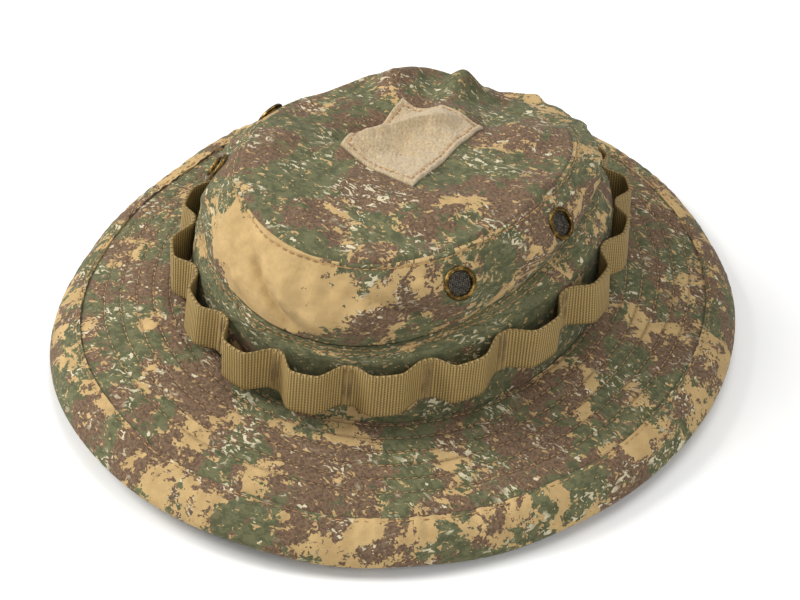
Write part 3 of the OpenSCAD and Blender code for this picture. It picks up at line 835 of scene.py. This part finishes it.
# ---------------- brim
def brim_sheet(name, top_depth, back_depth, inner, outer, count, face=None, back=None):
    """A ply of the brim from inner to outer (mm from the seam, outer back from the edge)."""
    r = reach(TURNS)
    if face or back:
        near = np.array([-2.2, -1.1, -0.5, 0, 0.5, 1.1, 2.2, 3.5])
        lines = (FIRST_ROW + PITCH * np.arange(ROWS - 1)[:, None] + near[None]).ravel()
        lines = np.concatenate([[inner], lines[lines > inner + 0.3]])[None] + 0 * r
        k = np.linspace(0, 1, count)[None]
        s = np.concatenate([lines, lines[:, -1:] + (r - outer - lines[:, -1:]) * k[:, 1:]], 1)[:, ::-1]
    else:
        s = inner + (r - outer - inner) * np.linspace(1, 0, count)[None]
    u = s / r
    t = TURNS + 0 * u
    top = brim_face(t, u, 1) if face else brim_at(t, u, top_depth)
    low = brim_face(t, u, -1) if back else brim_at(t, u, back_depth)
    piece = two_faced(name, top, low, plan_uv(top))
    # painted shade for the material: a weight that darkens the colour along each quilting row and along
    # the binding's inner edge
    row = (s - FIRST_ROW) / PITCH
    off = np.abs(row - np.clip(np.round(row), 0, ROWS - 1)) * PITCH
    hem = bell(r - s - BINDING_W - 0.3, 0.7)
    note(piece, "stitch_groove_and_painted_shade", bell(off, 0.55) + 0.8 * hem)
    return piece


brim_top = brim_sheet("brim_top_cloth", 0, PLY_T, 0.3, 2.5, 40, face=True)
brim_core = brim_sheet("brim_felt_core", PLY_T + 0.15, BRIM_T - PLY_T - 0.15, 0.5, 4, 20)
brim_low = brim_sheet("brim_under_cloth", BRIM_T - PLY_T, BRIM_T, 0.3, 2.5, 40, back=True)


def binding():
    r = reach(TURNS)
    u_in, u_mid = 1 - BINDING_W / r, 1 - 2.0 / r
    m = stack(np.radians(TURNS) * 150, 0 * TURNS)
    pucker = 0.32 * ripples(m, 7.5, 71)
    rows = []
    half = BRIM_T / 2

    def straight(u, depth, amount):
        rows.append(brim_at(TURNS, u, depth - amount * pucker))

    outer = half + 0.1 + BINDING_T
    inner = half + 0.1
    shares = np.array([0, 0.05, 0.1, 0.16, 0.28, 0.45, 0.62, 0.8, 1.0])
    for k in shares:
        dip = 0.3 * bell(k - 0.1, 0.05)
        swell = 0.45 * math.sin(math.pi * k) ** 0.5
        straight(u_in + (u_mid - u_in) * k, half - outer + dip - swell, 0.8 - 0.5 * k)
    for a in np.linspace(-60, 60, 7):
        rows.append(brim_at(TURNS, u_mid + outer * cosd(a) / r, half + outer * sind(a)))
    for k in shares[::-1]:
        dip = 0.35 * bell(k - 0.09, 0.06)
        straight(u_in + (u_mid - u_in) * k, half + outer - dip, -0.5 + 0.3 * k)
    for k in shares[::2]:
        straight(u_in + (u_mid - u_in) * k, half + inner, 0)
    for a in np.linspace(60, -60, 5):
        rows.append(brim_at(TURNS, u_mid + inner * cosd(a) / r, half + inner * sind(a)))
    for k in shares[::-2]:
        straight(u_in + (u_mid - u_in) * k, half - inner, 0)
    sections = np.stack([x[:, 0] for x in rows], 1)
    sections[..., 2] = np.maximum(sections[..., 2], -REST[2] + 0.02)
    return hoop("brim_binding", sections, stack(arc(sections[:, 12])[:, None], arc(sections[0])[None]))


brim_bind = binding()


def brim_rows():
    rows, t = [], TURNS[:, 0]
    for side in (1, -1):
        for i in range(ROWS):
            u = (FIRST_ROW + PITCH * i) / reach(t)
            p = brim_face(t, u, side)
            up = brim_at(t, u, -1.0) - brim_at(t, u, 1.0)
            rows.append((p, side * up))
    return rows


def binding_rows():
    rows, t = [], TURNS[:, 0]
    u = 1 + (1.5 - BINDING_W) / reach(t)
    up = brim_at(t, u, -1.0) - brim_at(t, u, 1.0)
    rows.append((brim_at(t, u, -0.1 - BINDING_T + 0.2), up))
    rows.append((brim_at(t, u, BRIM_T + 0.1 + BINDING_T - 0.3), -up))
    return rows


quilt_thread = stitches("brim_quilting_stitches", brim_rows())
bind_thread = stitches("binding_stitches", binding_rows())

# ---------------- band, sidewall and top
shares = np.concatenate([np.linspace(0, 0.8, 34), np.linspace(0.815, 0.985, 16), [1.0]])[None]
outer = band_face(TURNS + 0 * shares, shares + 0 * TURNS)
inner = band_at(TURNS + 0 * shares, shares + 0 * TURNS, BAND_T + 0 * (shares + TURNS))
fold = 0.5 * (outer[:, -1:] + inner[:, -1:]) + np.array([0, 0, 0.45])
across = np.concatenate([48 * shares[0, ::-1], 48 * shares[0, 1:-1] + 60, [110, 112]])
sections = np.concatenate([outer[:, ::-1], inner[:, 1:-1], fold], 1)
band = hoop("band_cloth", sections, round_uv(outer[:, 0], across))

tucked = [-0.12, -0.06, -0.02]
shares = np.concatenate([tucked, np.linspace(0.015, 0.92, 58), np.linspace(0.93, 1.0, 11)])[None]
outer = wall_face(TURNS + 0 * shares, shares + 0 * TURNS)
inner = wall_face(TURNS + 0 * shares, shares + 0 * TURNS, FABRIC_T)
ahead = np.roll(outer, -1, 0)
middle = 0.25 * (outer[:, :-1] + outer[:, 1:] + ahead[:, :-1] + ahead[:, 1:])
bore = np.zeros(middle.shape[:2], bool)
for vent in VENTS.values():
    bore |= np.linalg.norm(middle - vent_spot(*vent), axis=-1) < BORE_R
wall = two_faced("sidewall_cloth", outer, inner, round_uv(outer[:, 30], 42 * shares[0]), drop=bore)

ring_t = np.arange(0, 360, 0.8)[None]
radii = np.concatenate([np.linspace(0.012, 0.93, 84), np.linspace(0.94, 1.005, 12)])[:, None]
upper, under = top_spot(ring_t, radii), top_spot(ring_t, radii, 0.1)
mid_xy = np.array(TOP_SHIFT)
top = disc("top_cloth", upper, top_face(*mid_xy), under, top_face(*mid_xy, 0.1), upper[..., :2])


def level_rows(face, at):
    """Rows of stitches round the surface at the given shares of its height."""
    t = TURNS[:, 0]
    shares = [np.full_like(t, v) for v in at]
    return [(face(t, v), normals_of(face, t, v)) for v in shares]


band_thread = stitches("band_stitches", level_rows(band_face, BAND_ROWS))
top_thread = stitches("crown_top_stitches", level_rows(wall_face, [TOP_ROW]))

# ---------------- inside: sweatband, tapes, label
def behind_wall(t, v, inset):
    return wall_face(t, v, 0.0) - inset[..., None] * out_dir(t)


def inner_hoop(name, low, high, near, thick, count, surface, relief=0.0, seed=80):
    k = np.linspace(0, 1, count)[None]
    v = low(TURNS) + (high(TURNS) - low(TURNS)) * k
    t = TURNS + 0 * v
    m = stack(np.radians(t) * 85, 45 * v)
    h = relief * (ripples(m, 24, seed) + 0.4 * ripples(m, 8, seed + 1))
    h = h * np.sin(math.pi * np.clip(k, 0.02, 0.98))
    a = surface(t, v, near + 0 * v)
    b = surface(t, v, near + thick + 0.25 * np.sin(math.pi * k) + np.abs(h))
    return two_faced(name, a, b, round_uv(a[:, 0], 45 * k[0]))


sweat = inner_hoop(
    "sweatband_cloth", lambda t: 0.012 + 0 * t,
    lambda t: np.minimum(0.58, band_share(t, SWEAT_H)),
    BAND_T + 0.1, SWEAT_T - 0.3, 22, band_at, 0.25,
)
tape = inner_hoop(
    "crown_tape", lambda t: 0.86 + 0 * t, lambda t: 0.955 + 0 * t, FABRIC_T + 0.25, TAPE_T, 6, behind_wall,
)


def patch(name, t0, t1, low, high, surface, near, thick, nt, nv, seed=90):
    t = np.linspace(t0, t1, nt)[:, None]
    v = np.linspace(low, high, nv)[None]
    t, v = t + 0 * v, v + 0 * t
    curl = 0.15 * ripples(stack(t * 1.5, v * 45), 9, seed)
    a, b = surface(t, v, near + 0 * v), surface(t, v, near + thick + curl)
    return two_faced(name, a, b, stack(np.radians(t) * 88, v * 48), close=False)


join = patch("sidewall_join", 85, 95, 0.05, 0.70, behind_wall, FABRIC_T + 0.25, TAPE_T, 14, 30)
half_label = math.degrees(LABEL_W / 2 / (HEAD_W / 2))
label_low, label_high = [float(band_share(np.float64(90), h)) for h in (LABEL_UP, LABEL_UP + LABEL_H)]
label = patch(
    "size_tag", 90 - half_label, 90 + half_label, label_low, label_high, band_at,
    BAND_T + 0.1 + SWEAT_T + 0.15, 0.35, 30, 16,
)


def sweat_row():
    t = TURNS[:, 0]
    return band_at(t, band_share(t, 3), BAND_T + 0.1 + SWEAT_T - 0.15 + 0 * t), -out_dir(t)


sweat_thread = stitches("sweatband_stitches", [sweat_row()])

# ---------------- webbing loops and bartacks
WEB_SAMPLES = 44


def webbing():
    rng = np.random.default_rng(17)
    full = rng.uniform(0.72, 1.02, LOOPS)
    lean = rng.uniform(-0.9, 1.3, LOOPS)
    skew = rng.uniform(-0.05, 0.05, LOOPS)
    i = np.repeat(np.arange(LOOPS), WEB_SAMPLES)
    s = np.tile(np.arange(WEB_SAMPLES) / WEB_SAMPLES, LOOPS)
    x = np.clip((s - TACK) / (1 - 2 * TACK), 0, 1)
    x = x + skew[i] * np.sin(math.pi * x) ** 2
    near = np.clip(np.minimum(x, 1 - x) / 0.34, 0, 1)
    rise = near * near * (3 - 2 * near) * (0.80 + 0.20 * np.sin(math.pi * x))
    t = (i + s) * 360 / LOOPS + LOOP_TURN
    section = []
    half = WEB_T / 2
    heights = (0.015, 0.1, 0.33, 0.66, 0.9, 0.985)
    profile = [(half, up) for up in heights[::-1]] + [(0.3, 0.0), (-0.3, 0.0)]
    profile += [(-half, up) for up in heights] + [(-0.3, 1.0), (0.3, 1.0)]
    for off, up in profile:
        z = web_z(t) + WEB_W * up
        stand = LOOP_DEPTH * 0.93 * rise * full[i] + lean[i] * (up - 0.5) * 1.6 * rise
        out = lean_in(t, z) + WEB_GAP + half + 0.15 + stand
        section.append(spot(t, out, z - 0.5 * rise) + off * out_dir(t))
    sections = np.stack(section, 1)
    run = arc(0.5 * (sections[:, 2] + sections[:, 3]))
    across = np.array([(u - 0.5) * WEB_W for _, u in profile] + [0.5 * WEB_W])
    return hoop("webbing_loops_tape", sections, stack(run[:, None], across[None]))


web = webbing()


def bartack_rows():
    rng = np.random.default_rng(23)
    rows, count = [], 34
    for i in range(LOOPS):
        t = i * 360 / LOOPS + LOOP_TURN
        low = web_z(t)
        for column in (-1.1, 1.1):
            turn = t + math.degrees(column / 92)
            for j in range(count):
                z = low + 1.2 + (WEB_W - 2.4) * j / (count - 1)
                out = lean_in(t, z) + WEB_GAP + WEB_T + 0.18
                a, b = turn - 0.55, turn + 0.55
                wob = rng.uniform(-0.08, 0.08, 2)
                one = spot(np.float64(a), out, z + wob[0])
                two = spot(np.float64(b), out, z + 0.25 + wob[1])
                rows.append((np.stack([one, two]), np.stack([out_dir(np.float64(turn))] * 2)))
    return rows


tacks = stitches("bartack_stitches", bartack_rows(), length=1.7, space=0.05, radius=0.24, closed=False)


# ---------------- loop panel
def panel_place(a, b):
    """Plan place of a point of the panel, which is turned and has its front corners drawn out."""
    c, s = cosd(PANEL_TURN), sind(PANEL_TURN)
    x, y = PANEL_AT[0] + a * c - b * s, PANEL_AT[1] + a * s + b * c
    front = np.clip(0.5 - b / PATCH_L, 0, 1) ** 1.5
    left, right = np.clip(0.5 - a / PATCH_W, 0, 1), np.clip(0.5 + a / PATCH_W, 0, 1)
    return x + 1.5 * front * right + 0.5 * front * left, y + front * (3.0 * left - 6.5 * right)


def loop_panel():
    nx, ny = 110, 150
    a = np.linspace(-PATCH_W / 2, PATCH_W / 2, nx)[:, None]
    b = np.linspace(-PATCH_L / 2, PATCH_L / 2, ny)[None]
    a, b = a + 0 * b, b + 0 * a
    x, y = panel_place(a, b)
    hem = 2.6
    edge = np.minimum(PATCH_W / 2 - np.abs(a), PATCH_L / 2 - np.abs(b))
    ab = stack(a, b)
    pile = 0.10 * ripples(ab, 1.3, 95, 40) + 0.06 * ripples(ab, 2.6, 96, 24) + 0.15 * ripples(ab, 9, 97)
    stitch_groove_and_painted_shade = 0.55 * bell(edge - hem, 0.8)
    lift = 2.6 + (pile - stitch_groove_and_painted_shade) * np.clip(edge / 0.8, 0, 1) - 0.7 * np.clip(1 - edge / 0.9, 0, 1) ** 2
    face, back = top_face(x, y, lift), top_face(x, y, 1.2)
    piece = two_faced("loop_panel_pile", face, back, stack(a, b), close=False)
    rows, k = [], np.linspace(0, 1, 120)
    corners = ((-1, -1), (1, -1), (1, 1), (-1, 1), (-1, -1))
    for p, q in zip(corners, corners[1:]):
        a1 = (p[0] + (q[0] - p[0]) * k) * (PATCH_W / 2 - hem)
        b1 = (p[1] + (q[1] - p[1]) * k) * (PATCH_L / 2 - hem)
        px, py = panel_place(a1, b1)
        rows.append((top_face(px, py, 2.2), stack(0 * px, 0 * px, 1)))
    return piece, stitches("loop_panel_stitches", rows, length=2.3, space=0.8, closed=False)


panel, panel_thread = loop_panel()


# ---------------- vent screens
def screen(which):
    at, share = VENTS[which]
    lo, hi = [np.array(v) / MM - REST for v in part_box("vent_screen_" + which)]
    centre = (lo + hi) / 2
    n = normals_of(lambda t, v: wall_at(t, v, 0 * v), np.array([at]), np.array([share]))[0]
    a = np.cross([0, 0, 1.0], n)
    a /= np.linalg.norm(a)
    b = np.cross(n, a)
    verts, faces, total = [], [], 0
    radius, wire, pitch = SCREEN_D / 2 - 0.1, 0.2, 0.85
    for way, (p, q) in enumerate(((a, b), (b, a))):
        for j in range(-5, 6):
            d = j * pitch
            if abs(d) >= radius - 0.3:
                continue
            half = math.sqrt(radius * radius - d * d)
            s = np.linspace(-half, half, max(8, int(half * 8)))
            wave_n = 0.16 * np.cos(math.pi * s / pitch + math.pi * (j + way))
            line = centre + q * d + p * s[:, None] + n * wave_n[:, None]
            for da, dn in ((1, 1), (-1, 1), (-1, -1), (1, -1)):
                verts.append(line + 0.7 * wire * (da * q + dn * n))
            k = len(s)
            for i in range(k - 1):
                for e in range(4):
                    f = (e + 1) % 4
                    one, two = total + e * k + i, total + f * k + i
                    quad = [one, one + 1, two + 1, two]
                    faces.append(quad if way == 0 else quad[::-1])
            cap0 = [total + e * k for e in range(4)]
            cap1 = [corner + k - 1 for corner in cap0]
            faces += [cap0, cap1[::-1]] if way == 0 else [cap0[::-1], cap1]
            total += 4 * k
    return make("screen_mesh_" + which, np.concatenate(verts), faces, None, 40)


screens = {which: screen(which) for which in VENTS}

# ---------------- hide the CAD parts that these pieces stand for
for piece, node, slot in (
    (brim_top, "brim_top_ply", "camo_brim"), (brim_core, "brim_interlining", "interlining"),
    (brim_low, "brim_under_ply", "camo_brim_under"), (brim_bind, "brim_edge_binding", "camo_binding"),
    (quilt_thread, "brim_quilting_thread", "thread"), (bind_thread, "binding_stitching", "thread"),
    (band, "crown_band", "camo_band"), (wall, "crown_sidewall", "camo_sidewall"),
    (top, "crown_top_panel", "camo_top"), (band_thread, "band_stitching", "thread"),
    (top_thread, "crown_top_stitching", "thread"), (sweat, "sweatband", "sweatband"),
    (tape, "crown_seam_tape", "seam_tape"), (join, "sidewall_join_tape", "seam_tape"),
    (label, "size_label", "label"), (sweat_thread, "sweatband_stitching", "thread"),
    (web, "webbing_loops", "webbing"), (tacks, "webbing_bartacks", "thread"),
    (panel, "loop_panel", "loop_pile"), (panel_thread, "loop_panel_stitching", "thread"),
):
    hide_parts(node)
for which, piece in screens.items():
    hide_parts("vent_screen_" + which)

# ---------------- finishes
run_at = arc(wall_face(TURNS, 0.6 + 0 * TURNS)[:, 0])
bare_x = float(np.interp(272, np.append(TURNS[:, 0], 360), run_at)) * 0.01
camouflage("camouflage_brim", 1.7, green=0.46, brown=0.72, turn=20, lines=True).on(brim_top)
camouflage("camouflage_brim_under", 5.1, green=0.46, brown=0.62, turn=-30, lines=True).on(brim_low)
camouflage("camouflage_binding", 9.4, green=0.42, brown=0.5, turn=45, weave_turn=45).on(brim_bind)
camouflage("camouflage_band", 13.2, green=0.74, brown=0.5).on(band)
camouflage("camouflage_sidewall", 21.9, green=0.50, brown=0.60, bare=(bare_x, 0.24, 0.52, 0.30)).on(wall)
camouflage("camouflage_top", 31.4, green=0.50, brown=0.78, turn=-15).on(top)
for name, light, dark, pitch, looks, pieces in (
    ("felt_core", (214, 210, 196), (190, 186, 170), 0.03, {"fuzz": 1.5}, [brim_core]),
    ("twill_tape", (112, 112, 84), (84, 86, 62), 0.012, {}, [tape, join]),
    ("sweatband_cotton", (116, 114, 86), (88, 88, 64), 0.014, {"sheen": 0.35}, [sweat]),
    ("satin_label", (46, 46, 44), (26, 26, 26), 0.006, {"rough": 0.5}, [label]),
):
    plain_cloth(name, srgb(*light), srgb(*dark), pitch, **looks).on(*pieces)
webbing_material().on(web)
for name, light, dark, pieces in (
    ("tan_thread", (176, 136, 84), (140, 104, 62), [band_thread, bind_thread, top_thread, sweat_thread]),
    ("brim_thread", (168, 132, 86), (126, 98, 64), [quilt_thread]),
    ("bartack_thread", (152, 126, 76), (118, 96, 56), [tacks]),
    ("panel_thread", (190, 138, 84), (158, 110, 66), [panel_thread]),
):
    thread_material(name, srgb(*light), srgb(*dark)).on(*pieces)
pile_material().on(panel)
brass = brass_material()
wires = wire_material()
for which, piece in screens.items():
    wires.on(piece)
    brass.on(bpy.data.objects["vent_eyelet_" + which], bpy.data.objects["vent_washer_" + which])

# ---------------- camera, floor and light
lo, hi = CAD_BOX
aim = Vector(((lo.x + hi.x) / 2 + 0.0043, (lo.y + hi.y) / 2 - 0.0112, 0.0222))
azimuth, elevation, roll, distance = math.radians(31.80), math.radians(40.0), math.radians(5.15), 1.0663
flat = math.cos(elevation)
back = Vector((math.sin(azimuth) * flat, -math.cos(azimuth) * flat, math.sin(elevation)))
level = Vector((math.cos(azimuth), math.sin(azimuth), 0))
raised = back.cross(level)
right = level * math.cos(roll) + raised * math.sin(roll)
up = raised * math.cos(roll) - level * math.sin(roll)
data = bpy.data.cameras.new("camera")
data.sensor_width, data.lens = 36.0, 112.206
data.shift_x, data.shift_y = 0.0042, 0.0030
camera = bpy.data.objects.new("camera", data)
turned = Matrix((right, up, back)).transposed().to_4x4()
camera.matrix_world = Matrix.Translation(aim + back * distance) @ turned
bpy.context.scene.collection.objects.link(camera)
bpy.context.scene.camera = camera

FLOOR_R, FLOOR_SIDES = 5, 96
turns = np.arange(FLOOR_SIDES) * 2 * math.pi / FLOOR_SIDES
floor_points = [(FLOOR_R * math.cos(a), FLOOR_R * math.sin(a), 0.0) for a in turns]
floor_mesh = bpy.data.meshes.new("studio_floor")
floor_mesh.from_pydata(floor_points, [], [list(range(FLOOR_SIDES))])
floor = bpy.data.objects.new("studio_floor", floor_mesh)
bpy.context.scene.collection.objects.link(floor)
floor_material().on(floor)


def lamp(name, place, size, power, colour=(1, 1, 1)):
    light = bpy.data.lights.new(name, "AREA")
    light.shape, light.size, light.energy, light.color = "DISK", size, power, colour
    one = bpy.data.objects.new(name, light)
    one.location = place
    one.rotation_euler = (Vector((0, 0, 0.05)) - Vector(place)).to_track_quat("-Z", "Y").to_euler()
    bpy.context.scene.collection.objects.link(one)


lamp("key", (-1.45, -0.75, 1.25), 1.1, 42, (1.0, 0.985, 0.96))
lamp("fill", (1.4, -1.0, 1.3), 1.6, 15)
lamp("top", (0.1, 0.4, 2.2), 1.6, 20)
world = bpy.data.worlds.new("studio")
world.use_nodes = True
world.node_tree.nodes["Background"].inputs[0].default_value = (1.0, 1.0, 1.0, 1)
world.node_tree.nodes["Background"].inputs[1].default_value = 0.38
bpy.context.scene.world = world
bpy.context.scene.view_settings.view_transform = "Standard"
